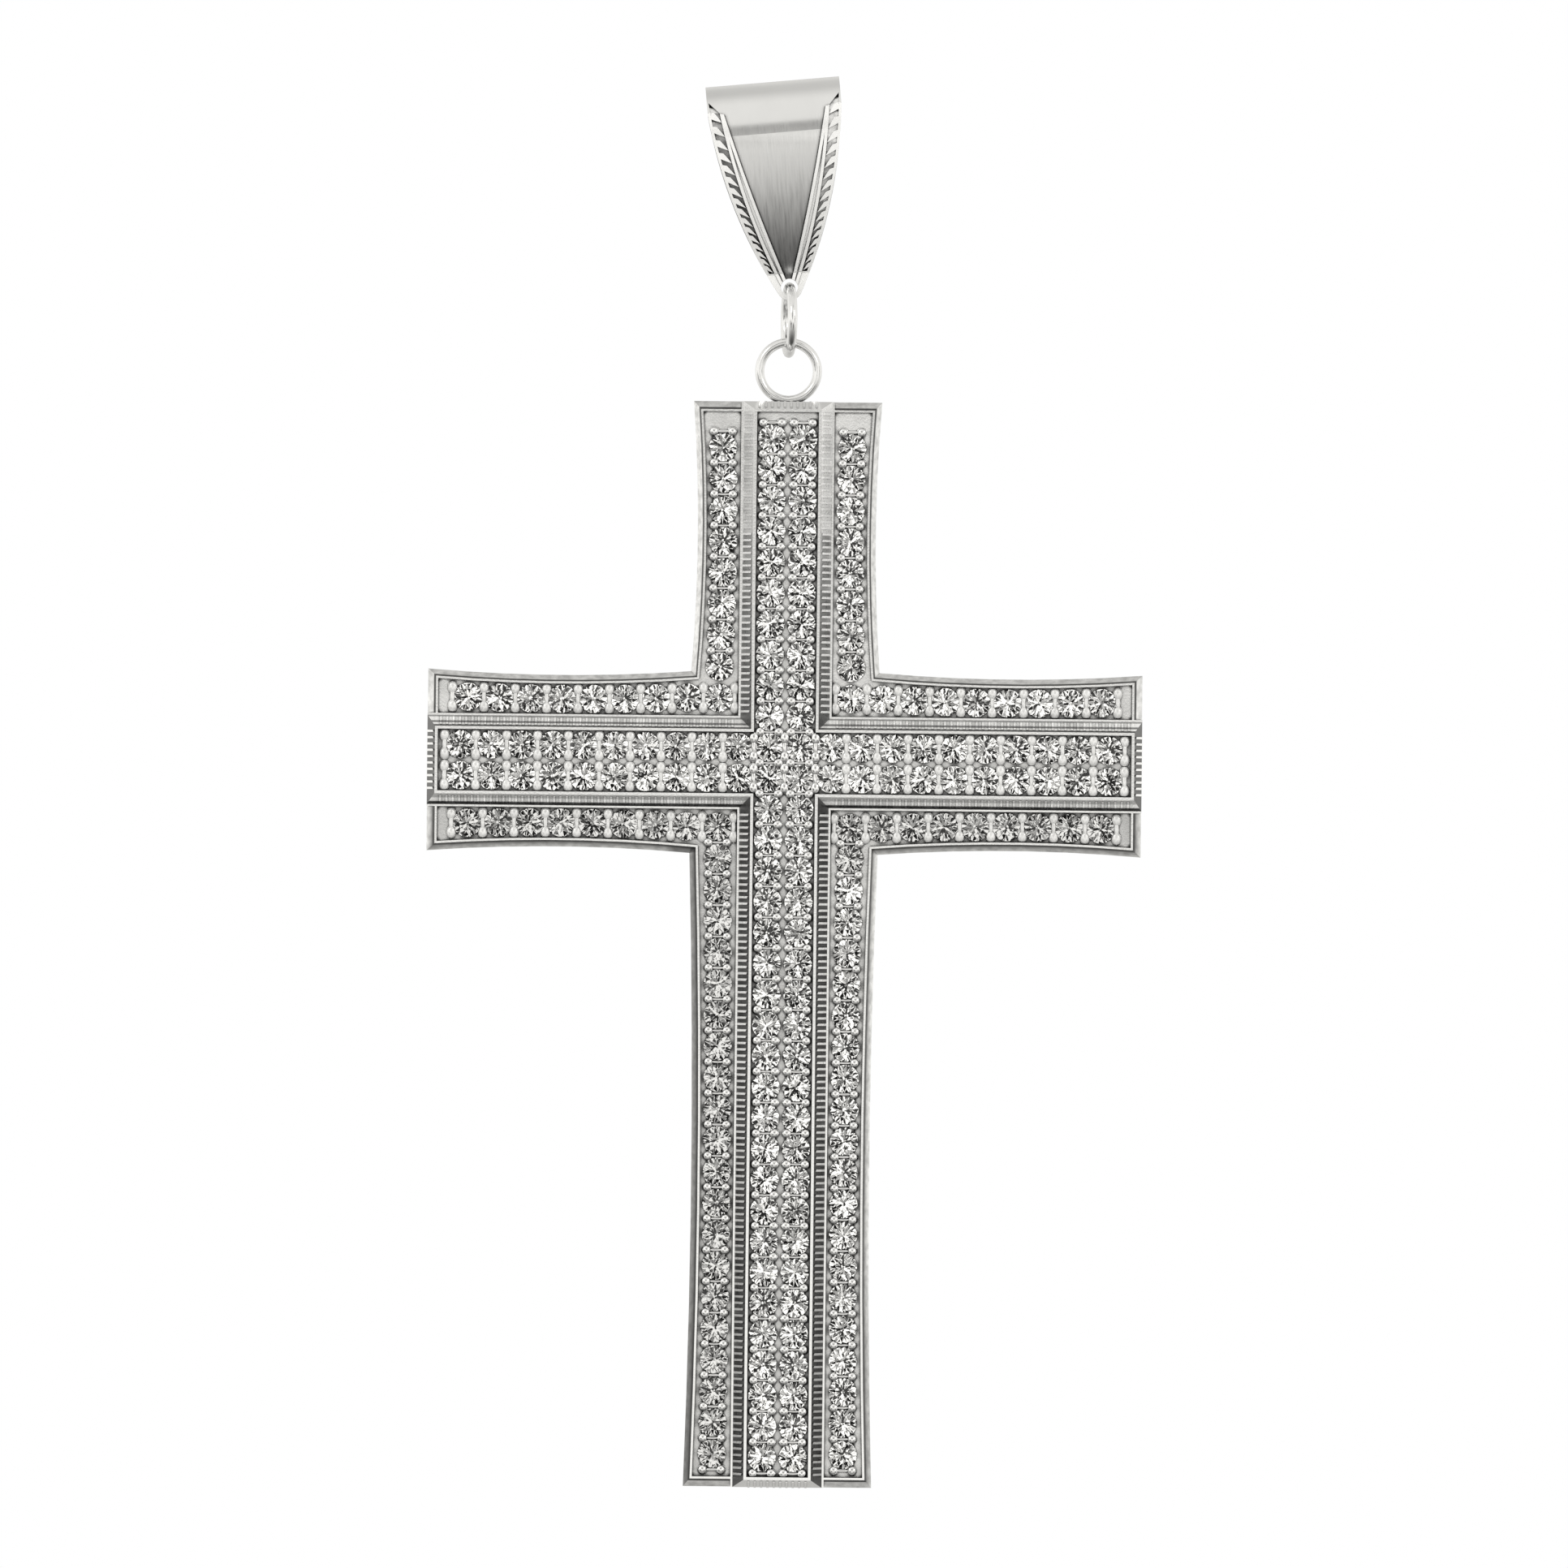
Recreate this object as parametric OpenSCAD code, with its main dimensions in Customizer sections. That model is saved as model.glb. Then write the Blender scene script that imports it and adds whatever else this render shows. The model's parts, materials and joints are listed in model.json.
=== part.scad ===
// A cross pendant hanging at rest: a two-level cross set with small stones, a ring soldered to
// its top, a jump ring and a folded bail. Millimetres, up is +Z, and the front faces -Y.
// The origin is the spot under the top of the bail where a chain bears.

/* [Cross outline] */
// Length of the arm above the crossing, from the centre
top_arm = 22.25; // [20:0.25:26]
// Length of each side arm, from the centre
side_arm = 22; // [20:0.25:26]
// Length of the arm below the crossing, from the centre
foot_arm = 44.6; // [36:0.2:50]
// Width of the upright at its ends
upright_w = 11.6; // [11.4:0.1:12.6]
// Width of the crossbar at its ends
crossbar_w = 11.2; // [11.2:0.1:12.4]
// How far the side of an arm dips between its two ends
waist = 0.32; // [0.1:0.02:0.36]

/* [Cross section] */
// Height of the outer level above the back
tier_z = 2.6; // [2.4:0.1:3]
// Height of the raised centre above the back
crown_z = 3.6; // [3.4:0.1:4]
// Height of the plain wall under the outer bevel
wall_z = 1.8; // [1.4:0.1:2]
// Width of the outer bevel along the sides, seen from the front
bevel_w = 0.4; // [0.3:0.05:0.45]
// Width of the outer bevel across the end of an arm
end_bevel = 0.5; // [0.4:0.05:0.55]
// Width of the thin rim round each sunk field of stones
rim_w = 0.13; // [0.1:0.01:0.15]
// Depth of each sunk field below its rim
sink = 0.35; // [0.3:0.05:0.4]
// Width of the sloping side of the raised centre, seen from the front
slope_w = 0.68; // [0.6:0.02:0.7]
// Width of the slope at the end of the raised centre
end_slope = 0.48; // [0.44:0.02:0.6]
// Width of the rim along the top of the raised centre
crest_w = 0.17; // [0.12:0.01:0.2]
// Width of the ledge at the foot of the slope
ledge_w = 0.12; // [0.08:0.01:0.14]
// Depth of the recess in the back
back_sink = 0.8; // [0.4:0.1:0.9]
// Width of the border round the recess in the back
back_rim = 1; // [0.8:0.1:1.6]

/* [Ladder pattern] */
// Spacing of the raised rungs on the slopes
rung_pitch = 0.39; // [0.35:0.01:0.6]
// Width of one rung along the slope
rung_w = 0.14; // [0.12:0.02:0.26]
// How far a rung stands out of the slope
rung_rise = 0.09; // [0.06:0.01:0.12]

/* [Stones] */
// Diameter of one stone at its girdle
stone_d = 1.75; // [1.6:0.05:1.78]
// Spacing of the stones on the raised centre
stone_pitch = 1.9; // [1.9:0.02:2]
// Spacing of the stones along the outer level
row_pitch = 1.93; // [1.9:0.01:2.1]

/* [Rings] */
// Thickness of the wire of the jump ring
link_wire = 0.6; // [0.5:0.05:0.65]
// Width over the jump ring
link_d = 4.65; // [4.6:0.05:5.4]
// Turn of the jump ring about its upright line, as it hangs
link_turn = 6; // [0:1:8]
// Thickness of the wire of the ring soldered to the cross
ring_wire = 0.56; // [0.5:0.02:0.6]
// Width over the ring soldered to the cross
ring_d = 4.12; // [4:0.02:4.6]
// Gap between the two rings where they hook together
ring_gap = 0.07; // [0.05:0.01:0.12]

/* [Bail] */
// Width of the bail at its top
bail_w = 8.25; // [7.6:0.05:8.6]
// Height of the bail from its top to its tip
bail_h = 13.5; // [13.2:0.1:14]
// Inner radius of the fold that the chain bears on
fold_r = 2.5; // [2.4:0.05:2.8]
// Thickness of the folded sheet
sheet = 0.75; // [0.6:0.05:0.8]
// Lean of the bail to the side, as it hangs on its chain
bail_lean = 5.4; // [0:0.2:6]
// Diameter of the hole in the tip
tip_hole = 1.04; // [1:0.02:1.1]
// Radius of the rounded tip
tip_r = 0.8; // [0.78:0.02:0.95]

/* [Carving of the bail] */
// How far the thin rims stand out of the brushed panel
rim_rise = 0.1; // [0.06:0.02:0.14]
// Width of each thin rim
bail_rim_w = 0.19; // [0.14:0.01:0.2]
// Depth of the carved bands
band_sink = 0.22; // [0.1:0.02:0.24]
// Width of the plain border outside each carved band
border_w = 0.16; // [0.12:0.02:0.2]
// Number of leaves down each carved band
leaf_count = 16; // [12:1:18]

/* [Hidden] */

silver = [0.86, 0.86, 0.87];
bright = [0.93, 0.93, 0.94];
clear = [0.9, 0.93, 0.96];
wide_fn = 720;
round_fn = 64;
wire_fn = 24;
over = 1;

// Bail, measured down from the inside of its fold
tip_z = sheet - bail_h;
hole_z = tip_z + tip_r;
tongue_half = 0.55;
tongue_rise = 0.9;
tongue_top = hole_z + tongue_rise;
tongue_lap = 0.3;
inside_rise = 0.8;
leaf_half = fold_r + sheet - tongue_half;
leaf_drop = -fold_r - hole_z - inside_rise;
leaf_r = (leaf_half * leaf_half + leaf_drop * leaf_drop) / (2 * leaf_half);

// Outlines on the front of the bail, each an arc from its top point to its foot point
outline_top = -1;
panel_share = 0.765;
band_share = 0.82;
side_r = 30;
side_foot = [tip_r + 0.15, hole_z + 0.1];
side_centre = bulge_centre([bail_w / 2, outline_top], side_foot, side_r);
panel_r = 110;
panel_foot = [0.08, hole_z + 0.15];
panel_centre = bulge_centre([panel_share * bail_w / 2, outline_top], panel_foot, panel_r);
band_r = 41;
band_foot = [0.5, hole_z + 0.05];
band_centre = bulge_centre([band_share * bail_w / 2, outline_top], band_foot, band_r);

// Carved bands, which start higher at the edge of the bail than at the rim
carving_share = 0.8;
band_inner = [carving_share * bail_w / 2, -1.1];
band_outer = [bail_w / 2, -0.2];
leaf_top = -0.8;
leaf_end_gap = 0.1;
leaf_foot = tongue_top + leaf_end_gap;
leaf_shrink = 0.95;
leaf_turn = 50;
leaf_reach = 1.5;
leaf_fill = 0.5;
leaf_taper = 0.55;

// Where things hang: the jump ring from the tip hole, and the cross from the jump ring
hang_x = -hole_z * sin(bail_lean);
link_top = hole_z * cos(bail_lean);
link_r = (link_d - link_wire) / 2;
ring_r = (ring_d - ring_wire) / 2;
ring_top = link_top - 2 * link_r + link_wire / 2 + ring_wire / 2 + ring_gap;
solder = 0.18;
ring_y = top_arm + ring_d / 2 - solder;
cross_z = ring_top - ring_r - ring_y;
ring_level = 1.74;

// Cross section, from the centreline outwards
field_half = stone_pitch;
crest_half = field_half + crest_w;
slope_half = crest_half + slope_w;
bar_half = slope_half + ledge_w;
bar_low = tier_z - 2 * sink;
edge_w = bevel_w + rim_w;
end_edge = end_bevel + rim_w;
end_inset = end_slope + crest_w;
upright_half = upright_w / 2;
crossbar_half = crossbar_w / 2;
seat_gap = 0.05;
rung_margin = 0.12;

// Cut of a stone
table_share = 0.6;
crown_share = 0.15;
girdle_share = 0.03;
pavilion_share = 0.43;
girdle_r = stone_d / 2;
table_r = table_share * girdle_r;
crown_h = crown_share * stone_d;
girdle_h = girdle_share * stone_d;
pavilion_h = pavilion_share * stone_d;
girdle_lift = 0.12;
stone_sides = 8;
seat_r = girdle_r * (1 - girdle_lift / pavilion_h) + seat_gap;
seat_depth = pavilion_h - girdle_lift + seat_gap;

// Arms: turn about the centre, reach, half width of this arm, and half width of the arm it leaves
ARMS = [
    [0, side_arm, crossbar_half, upright_half],
    [90, top_arm, upright_half, crossbar_half],
    [180, side_arm, crossbar_half, upright_half],
    [270, foot_arm, upright_half, crossbar_half]
];

// Radius of a side that dips by the waist over a length
function dip_r(length) = length * length / (8 * waist) + waist / 2;

// Half width of an arm at a distance along it
function half_at(along, reach, half, root) =
    let (r = dip_r(reach - root), middle = (reach + root) / 2)
    half - waist + r - sqrt(r * r - (along - middle) * (along - middle));

// Middle of the side channel at a distance along an arm
function channel_at(along, reach, half, root) = (bar_half + half_at(along, reach, half, root) - edge_w) / 2;

// Number of stones that fit from a first place to a last place
function fit(first, last, pitch) = floor((last - first) / pitch) + 1;

// Centre of the circle of radius r through an upper and a lower point, on the far side of the axis
function bulge_centre(upper, lower, r) =
    let (chord = lower - upper, half = norm(chord) / 2, inward = [chord[1], -chord[0]] / (2 * half))
    (upper + lower) / 2 + inward * sqrt(r * r - half * half);

// Distance from the axis of such a circle at a height
function bulge_at(z, centre, r) = centre[0] + sqrt(r * r - (z - centre[1]) * (z - centre[1]));

// The pieces of the cross are drawn lying face up and then hung
module hang() {
    translate([hang_x, ring_level, cross_z]) rotate([90, 0, 0]) children();
}

// A slab along +X whose sides curve in, made smaller by an inset along its sides and at its end
module slab(arm, inset, end, low, high) {
    reach = arm[1];
    half = arm[2];
    root = arm[3];
    r = dip_r(reach - root);
    rotate([0, 0, arm[0]])
        difference() {
            translate([-over, -half - over, low]) cube([reach + over - end, 2 * (half + over), high - low]);
            for (side = [-1, 1])
                translate([(reach + root) / 2, side * (half - waist + r), low - over])
                    cylinder(h = high - low + 2 * over, r = r + inset, $fn = wide_fn);
        }
}

// The outer level of one arm, with its bevel down the sides and the end
module outer_level(arm) {
    reach = arm[1];
    half = arm[2];
    root = arm[3];
    r = dip_r(reach - root);
    rise = tier_z - wall_z + over;
    growth = rise / (tier_z - wall_z);
    difference() {
        slab(arm, 0, 0, 0, tier_z);
        rotate([0, 0, arm[0]]) {
            for (side = [-1, 1])
                translate([(reach + root) / 2, side * (half - waist + r), wall_z])
                    cylinder(h = rise, r1 = r, r2 = r + bevel_w * growth, $fn = wide_fn);
            translate([0, half + 2 * over, 0])
                rotate([90, 0, 0])
                    linear_extrude(2 * (half + 2 * over))
                        polygon([[reach, wall_z], [reach + over, wall_z], [reach + over, wall_z + rise],
                            [reach - end_bevel * growth, wall_z + rise]]);
        }
    }
}

// A straight bar through the centre with sloping sides and ends
module raised_bar(back_reach, reach) {
    intersection() {
        rotate([90, 0, 90])
            translate([0, 0, -back_reach])
                linear_extrude(back_reach + reach)
                    polygon([[-bar_half, bar_low], [bar_half, bar_low], [bar_half, tier_z],
                        [slope_half, tier_z], [crest_half, crown_z], [-crest_half, crown_z],
                        [-slope_half, tier_z], [-bar_half, tier_z]]);
        translate([0, bar_half + over, 0])
            rotate([90, 0, 0])
                linear_extrude(2 * (bar_half + over))
                    polygon([[-back_reach, bar_low], [reach, bar_low], [reach, tier_z],
                        [reach - end_slope, crown_z], [end_slope - back_reach, crown_z],
                        [-back_reach, tier_z]]);
    }
}

// Raised rungs down a slope of the raised centre, from one place along it to another
module rungs(from, to, width) {
    slope = [width, tier_z - crown_z];
    out = rung_rise * [crown_z - tier_z, width] / norm(slope);
    top = [crest_half, crown_z] + rung_margin * slope;
    foot = top + (1 - 2 * rung_margin) * slope;
    count = floor((to - from) / rung_pitch);
    for (i = [0 : count - 1])
        translate([(from + to) / 2 + (i - (count - 1) / 2) * rung_pitch - rung_w / 2, 0, 0])
            rotate([90, 0, 90])
                linear_extrude(rung_w)
                    polygon([top - out, top + out, foot + out, foot - out]);
}

// The ladder pattern round one arm: down both long slopes and across the end
module ladder(arm) {
    rotate([0, 0, arm[0]]) {
        rungs(bar_half, arm[1] - end_slope, slope_w);
        mirror([0, 1, 0]) rungs(bar_half, arm[1] - end_slope, slope_w);
        translate([arm[1] - crest_half - end_slope, 0, 0])
            rotate([0, 0, -90])
                rungs(-crest_half, crest_half, end_slope);
    }
}

// The sunk field of the raised centre, as the block that is taken out
module centre_field() {
    floor_z = crown_z - sink;
    translate([end_inset - side_arm, -field_half, floor_z])
        cube([2 * (side_arm - end_inset), 2 * field_half, over]);
    translate([-field_half, end_inset - foot_arm, floor_z])
        cube([2 * field_half, foot_arm + top_arm - 2 * end_inset, over]);
}

// Places of the stones on the raised centre, with the crossing's four counted once
function centre_places() = [
    for (arm = ARMS)
        let (last = arm[1] - end_inset - girdle_r - seat_gap, first = arm[0] % 180 == 0 ? 1 : 0)
        for (k = [first : fit(stone_pitch / 2, last, stone_pitch) - 1], side = [-1, 1])
            turned([stone_pitch * (k + 0.5), side * stone_pitch / 2], arm[0])
];

// Places of the stones on the outer level: a row on each side of each arm, and one in each corner
function side_places() = concat(
    [
        for (x = [-1, 1], y = [-1, 1])
            [x * channel_at(crossbar_half, top_arm, upright_half, crossbar_half),
                y * channel_at(upright_half, side_arm, crossbar_half, upright_half)]
    ],
    [
        for (arm = ARMS)
            let (start = channel_at(arm[2], arm[1], arm[3], arm[2]),
                last = arm[1] - end_edge - girdle_r - seat_gap)
            for (k = [1 : fit(start, last, row_pitch) - 1], side = [-1, 1])
                let (along = start + k * row_pitch)
                turned([along, side * channel_at(along, arm[1], arm[2], arm[3])], arm[0])
    ]
);

function turned(point, angle) = [
    point[0] * cos(angle) - point[1] * sin(angle),
    point[0] * sin(angle) + point[1] * cos(angle)
];

// Corner number i of a level of a stone, which may lie half a step round
function corner(r, i, z) = let (angle = 360 / stone_sides * i) [r * cos(angle), r * sin(angle), z];

// One round stone with a table, eight crown kites, a girdle and a pavilion, girdle at z = 0
module stone() {
    sides = [0 : stone_sides - 1];
    n = stone_sides;
    points = concat(
        [for (i = sides) corner(table_r, i + 0.5, girdle_h + crown_h)],
        [for (i = sides) corner(girdle_r, i, girdle_h)],
        [for (i = sides) corner(girdle_r, i, 0)],
        [[0, 0, -pavilion_h]]
    );
    faces = concat(
        [[for (i = sides) n - 1 - i]],
        [for (i = sides) [i, n + (i + 1) % n, n + i]],
        [for (i = sides) [i, (i + 1) % n, n + (i + 1) % n]],
        [for (i = sides) [n + i, n + (i + 1) % n, 2 * n + (i + 1) % n, 2 * n + i]],
        [for (i = sides) [2 * n + i, 2 * n + (i + 1) % n, 3 * n]]
    );
    polyhedron(points, faces);
}

module seats(places, floor_z) {
    for (place = places)
        translate([place[0], place[1], floor_z - seat_depth])
            cylinder(h = seat_depth + over / 2, r = seat_r, $fn = wire_fn);
}

// A wire ring about the Z axis
module wire_ring(middle_r, wire) {
    rotate_extrude($fn = round_fn) translate([middle_r, 0]) circle(d = wire, $fn = wire_fn);
}

module cross_frame() {
    color(silver)
        hang() {
            difference() {
                union() {
                    difference() {
                        for (arm = ARMS) outer_level(arm);
                        for (arm = ARMS) slab(arm, edge_w, end_edge, tier_z - sink, tier_z + over);
                    }
                    raised_bar(side_arm, side_arm);
                    rotate([0, 0, 90]) raised_bar(foot_arm, top_arm);
                    for (arm = ARMS) ladder(arm);
                }
                centre_field();
                seats(centre_places(), crown_z - sink);
                seats(side_places(), tier_z - sink);
                for (arm = ARMS) slab(arm, back_rim, back_rim, -over, back_sink);
            }
            translate([0, ring_y, ring_level]) wire_ring(ring_r, ring_wire);
        }
}

module centre_stones() {
    color(clear)
        hang()
            for (place = centre_places())
                translate([place[0], place[1], crown_z - sink + girdle_lift]) stone();
}

module side_stones() {
    color(clear)
        hang()
            for (place = side_places())
                translate([place[0], place[1], tier_z - sink + girdle_lift]) stone();
}

module link_ring() {
    color(bright)
        translate([hang_x, 0, link_top - link_r])
            rotate([0, 90, link_turn])
                wire_ring(link_r, link_wire);
}

// The folded sheet in side view, as a solid loop at a distance t outside its inner face
module loop(t, width) {
    r = fold_r + t;
    translate([0, 0, -fold_r]) {
        intersection() {
            rotate([0, 90, 0]) cylinder(h = width, r = r, center = true, $fn = round_fn);
            translate([-width, -width, 0]) cube(2 * width);
        }
        intersection() {
            loop_leaf(1, t, width);
            loop_leaf(-1, t, width);
            translate([-width, -r - over, -leaf_r]) cube([2 * width, 2 * (r + over), leaf_r]);
        }
    }
}

// One of the two wide arcs that close the loop towards the tip
module loop_leaf(side, t, width) {
    r = leaf_r - sheet + t;
    translate([0, side * (leaf_r - sheet - fold_r), 0])
        rotate([0, 90, 0])
            cylinder(h = width, r = r, center = true, $fn = wide_fn);
}

// Everything between a circle and its mirror image, seen from the front
module lens(centre, r) {
    intersection() {
        round_block(centre[0], centre[1], r);
        round_block(-centre[0], centre[1], r);
    }
}

module round_block(x, z, r) {
    translate([x, 0, z])
        rotate([90, 0, 0])
            cylinder(h = 4 * fold_r, r = r, center = true, $fn = wide_fn);
}

// The part of the front that is carved: from the slanting tops of the bands down to the tongue
module carved_front() {
    wide = band_outer + [over, over];
    rotate([90, 0, 0])
        linear_extrude(2 * fold_r)
            polygon([[-wide[0], tongue_top], [wide[0], tongue_top], wide, band_outer, band_inner,
                [-band_inner[0], band_inner[1]], [-band_outer[0], band_outer[1]], [-wide[0], wide[1]]]);
}

// The strip just inside the edge of such a lens
module strip(centre, r, width) {
    difference() {
        lens(centre, r);
        lens(centre, r - width);
    }
}

// A pair of thin raised rims down each side of the brushed panel, which meet at the tip
module bail_rims() {
    intersection() {
        union() {
            intersection() {
                loop(sheet + rim_rise, bail_w);
                carved_front();
            }
            translate([-2 * tip_r, -tongue_half - rim_rise, hole_z])
                cube([4 * tip_r, tongue_half + rim_rise, tongue_rise + leaf_end_gap]);
        }
        union() {
            strip(panel_centre, panel_r + bail_rim_w, bail_rim_w);
            strip(band_centre, band_r, bail_rim_w);
        }
    }
}

// The bands that are sunk into the front, between the outer rim and the plain border
module bands() {
    intersection() {
        carved_front();
        difference() {
            lens(side_centre, side_r - border_w);
            lens(band_centre, band_r);
        }
    }
}

// Top of a leaf in a band, where each leaf is a little smaller than the one above it
function leaf_z(i) =
    leaf_top - (leaf_top - leaf_foot) * (1 - pow(leaf_shrink, i)) / (1 - pow(leaf_shrink, leaf_count));

// Pointed leaves that slant in and down across each carved band
module leaves() {
    for (side = [-1, 1], i = [0 : leaf_count - 1]) {
        z = (leaf_z(i) + leaf_z(i + 1)) / 2;
        inner = bulge_at(z, band_centre, band_r);
        outer = bulge_at(z, side_centre, side_r);
        half_l = leaf_reach * (outer - inner) / 2;
        half_w = leaf_fill * (leaf_z(i) - leaf_z(i + 1)) / 2;
        translate([side * (inner + outer) / 2, 0, z])
            rotate([90, side * leaf_turn, 0])
                linear_extrude(2 * fold_r)
                    polygon([[0, half_l], [-half_w, half_l / 3], [-half_w * leaf_taper, -half_l / 3],
                        [0, -half_l], [half_w * leaf_taper, -half_l / 3], [half_w, half_l / 3]]);
    }
}

// The folded sheet with its two sunk bands and their leaves
module folded_sheet() {
    intersection() {
        union() {
            difference() {
                loop(sheet, bail_w);
                bands();
            }
            loop(sheet - band_sink, bail_w);
            intersection() {
                loop(sheet, bail_w);
                leaves();
            }
        }
        lens(side_centre, side_r);
        translate([-bail_w, -bail_w, hole_z - tongue_lap]) cube(2 * bail_w);
    }
}

// The flat tip where both leaves of the sheet meet
module tongue() {
    intersection() {
        lens(side_centre, side_r);
        translate([-bail_w, -tongue_half, hole_z - tongue_lap])
            cube([2 * bail_w, 2 * tongue_half, tongue_rise + tongue_lap]);
    }
    translate([0, 0, hole_z])
        rotate([90, 0, 0])
            cylinder(h = 2 * tongue_half, r = tip_r, center = true, $fn = round_fn);
}

module bail() {
    color(bright)
        rotate([0, -bail_lean, 0])
            difference() {
                union() {
                    folded_sheet();
                    bail_rims();
                    tongue();
                }
                loop(0, bail_w + 2 * over);
                translate([0, 0, hole_z])
                    rotate([90, 0, 0])
                        cylinder(h = 4 * fold_r, d = tip_hole, center = true, $fn = round_fn);
            }
}

bail();
link_ring();
cross_frame();
centre_stones();
side_stones();
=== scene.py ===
"""Looks of the cross pendant: stones with a full cut, the beads that hold them, silver in several
finishes, and the studio. Everything is in metres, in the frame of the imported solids."""

import json
import math
import random

import bpy
from mathutils import Matrix, Vector


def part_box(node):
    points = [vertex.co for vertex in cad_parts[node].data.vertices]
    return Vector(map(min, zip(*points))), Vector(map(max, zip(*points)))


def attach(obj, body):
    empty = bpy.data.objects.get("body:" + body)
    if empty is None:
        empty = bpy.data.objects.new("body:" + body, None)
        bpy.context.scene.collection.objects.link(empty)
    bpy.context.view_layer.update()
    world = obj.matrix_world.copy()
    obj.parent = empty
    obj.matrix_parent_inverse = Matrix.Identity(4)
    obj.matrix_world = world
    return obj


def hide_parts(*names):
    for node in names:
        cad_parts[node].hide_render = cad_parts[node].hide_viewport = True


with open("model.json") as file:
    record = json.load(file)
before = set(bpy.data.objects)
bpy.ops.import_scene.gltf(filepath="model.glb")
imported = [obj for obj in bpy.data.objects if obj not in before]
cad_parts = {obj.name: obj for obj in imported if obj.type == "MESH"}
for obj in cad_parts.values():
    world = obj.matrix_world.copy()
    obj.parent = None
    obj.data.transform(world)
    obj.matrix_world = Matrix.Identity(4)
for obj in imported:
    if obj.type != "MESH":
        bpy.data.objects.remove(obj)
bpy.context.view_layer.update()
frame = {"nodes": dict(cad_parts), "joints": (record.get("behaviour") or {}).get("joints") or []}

MM = 0.001
BODY_OF_CROSS = "cross"
HINGES = {joint["name"]: Vector(joint["pos_m"]) for joint in frame["joints"]}

# Sizes repeated from the solids: the cross, measured from its crossing and from its back
CROSSING_DROP = 25.91 * MM
TOP_ARM = 22.25 * MM
SIDE_ARM = 22.0 * MM
FOOT_ARM = 44.6 * MM
TIER = 2.6 * MM
CROWN = 3.6 * MM
FIELD_HALF = 1.9 * MM
SINK = 0.35 * MM
WALL = 1.8 * MM
CREST_HALF = 2.07 * MM
SLOPE_W = 0.68 * MM
SLOPE_HALF = CREST_HALF + SLOPE_W
END_SLOPE = 0.48 * MM
RUNG_RISE = 0.09 * MM
STONE_D = 1.75 * MM
PAVILION = 0.43 * STONE_D
GIRDLE_LIFT = 0.12 * MM
# The bail, measured down from the top of its inside
BAIL_LEAN = math.radians(5.4)
FOLD_R = 2.5 * MM
SHEET = 0.75 * MM
HOLE_DROP = 11.95 * MM
TONGUE_HALF = 0.55 * MM
INSIDE_RISE = 0.8 * MM
LEAF_DROP = HOLE_DROP - FOLD_R - INSIDE_RISE
LEAF_HALF = FOLD_R + SHEET - TONGUE_HALF
LEAF_R = (LEAF_HALF**2 + LEAF_DROP**2) / (2 * LEAF_HALF)
PANEL_TOP = Vector((3.15, -1.0)) * MM
PANEL_FOOT = Vector((0.08, -11.8)) * MM
PANEL_R = 110 * MM
# Two measures closer than this are taken as the same
CLOSE = 0.03 * MM

crossing = HINGES["cross_swing"] - Vector((0, 0, CROSSING_DROP))
back_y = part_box("cross_frame")[1].y


# Node materials

# Between these two most of a noise lies
NOISE_LOW = 0.3
NOISE_HIGH = 0.7
CLOUD_DETAIL = 3.0
FINE_DETAIL = 2.0
GRAIN_SCALE = 9.0
GRAIN_BUMP = 0.5
OCCLUSION_SAMPLES = 12
OPEN_SURFACE = (0.5, 0.72)


def new_material(name):
    """A material with an empty tree but for its output and a principled shader."""
    made = bpy.data.materials.new(name)
    made.use_nodes = True
    tree = made.node_tree
    tree.nodes.clear()
    output = tree.nodes.new("ShaderNodeOutputMaterial")
    shader = tree.nodes.new("ShaderNodeBsdfPrincipled")
    tree.links.new(shader.outputs["BSDF"], output.inputs["Surface"])
    return made, tree, shader


def add_node(tree, kind, values=None, links=None, **settings):
    """A node with its settings, its fixed inputs and what feeds its other inputs."""
    node = tree.nodes.new(kind)
    for key, value in settings.items():
        setattr(node, key, value)
    for key, value in (values or {}).items():
        node.inputs[key].default_value = value
    for key, socket in (links or {}).items():
        tree.links.new(socket, node.inputs[key])
    return node


def millimetres(tree, scale=(1, 1, 1), turn=0.0):
    """Places on the piece in millimetres, turned about Y and stretched."""
    place = add_node(tree, "ShaderNodeTexCoord")
    turned = add_node(
        tree,
        "ShaderNodeMapping",
        values={"Rotation": (0, turn, 0), "Scale": (1 / MM, 1 / MM, 1 / MM)},
        links={"Vector": place.outputs["Object"]},
    )
    stretched = add_node(
        tree,
        "ShaderNodeMapping",
        values={"Scale": scale},
        links={"Vector": turned.outputs["Vector"]},
    )
    return stretched.outputs["Vector"]


def noise(tree, vector, scale, detail=FINE_DETAIL):
    """A noise between 0 and 1 over the places, finer as the scale grows."""
    node = add_node(
        tree,
        "ShaderNodeTexNoise",
        values={"Scale": scale, "Detail": detail},
        links={"Vector": vector},
    )
    return node.outputs["Fac"]


def ramp(tree, socket, stops):
    """A colour ramp of greys, from pairs of a place and a tone."""
    node = add_node(tree, "ShaderNodeValToRGB", links={"Fac": socket})
    elements = node.color_ramp.elements
    while len(elements) < len(stops):
        elements.new(0.5)
    for element, (place, tone) in zip(elements, stops):
        element.position = place
        element.color = (tone, tone, tone, 1.0)
    return node.outputs["Color"]


def uneven(tree, cloud, low, high):
    """A tone that wanders between two greys with a noise."""
    return ramp(tree, cloud, [(NOISE_LOW, low), (NOISE_HIGH, high)])


def bump(tree, height, strength, distance):
    """A normal that leans with the slope of a height."""
    node = add_node(
        tree,
        "ShaderNodeBump",
        values={"Strength": strength, "Distance": distance},
        links={"Height": height},
    )
    return node.outputs["Normal"]


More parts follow.
